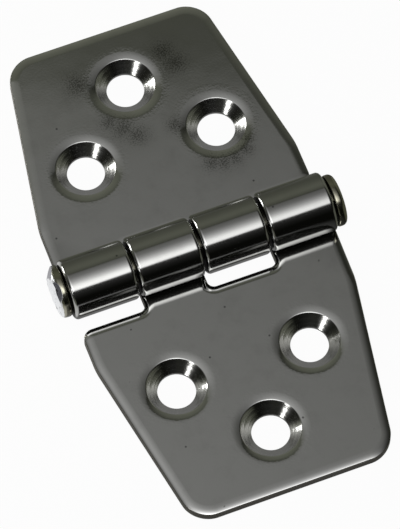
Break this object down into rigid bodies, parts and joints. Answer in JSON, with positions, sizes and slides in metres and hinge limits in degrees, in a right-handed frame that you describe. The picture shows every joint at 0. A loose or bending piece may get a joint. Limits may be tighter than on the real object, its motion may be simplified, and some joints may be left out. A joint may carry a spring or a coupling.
{
  "type": "hinge",
  "caption": "Flat stamped steel hinge with tapered leaves, rolled knuckles, countersunk screw holes and a headed pin, for hatches, lids and cabinet doors.",
  "frame": {"origin": "on the plane of the leaves' backs, straight under the middle of the pin", "axes": "+X along the pin towards its turned head, +Y towards the upper leaf, +Z out of the front faces"},
  "size_m": [0.0418, 0.0744, 0.0085],
  "materials": {
    "leaf_steel": "polished stainless steel",
    "pin_steel": "polished stainless steel, one end hammered over and left bare"
  },
  "bodies": {
    "fixed_leaf": {"upper_leaf": "leaf_steel", "hinge_pin": "pin_steel"},
    "swing_leaf": {"lower_leaf": "leaf_steel"}
  },
  "joints": [
    {"name": "leaf_swing", "type": "hinge", "parent": "fixed_leaf", "child": "swing_leaf", "pos_m": [0, 0, 0.00425], "axis": [-1, 0, 0], "range_deg": [-90, 180]}
  ]
}
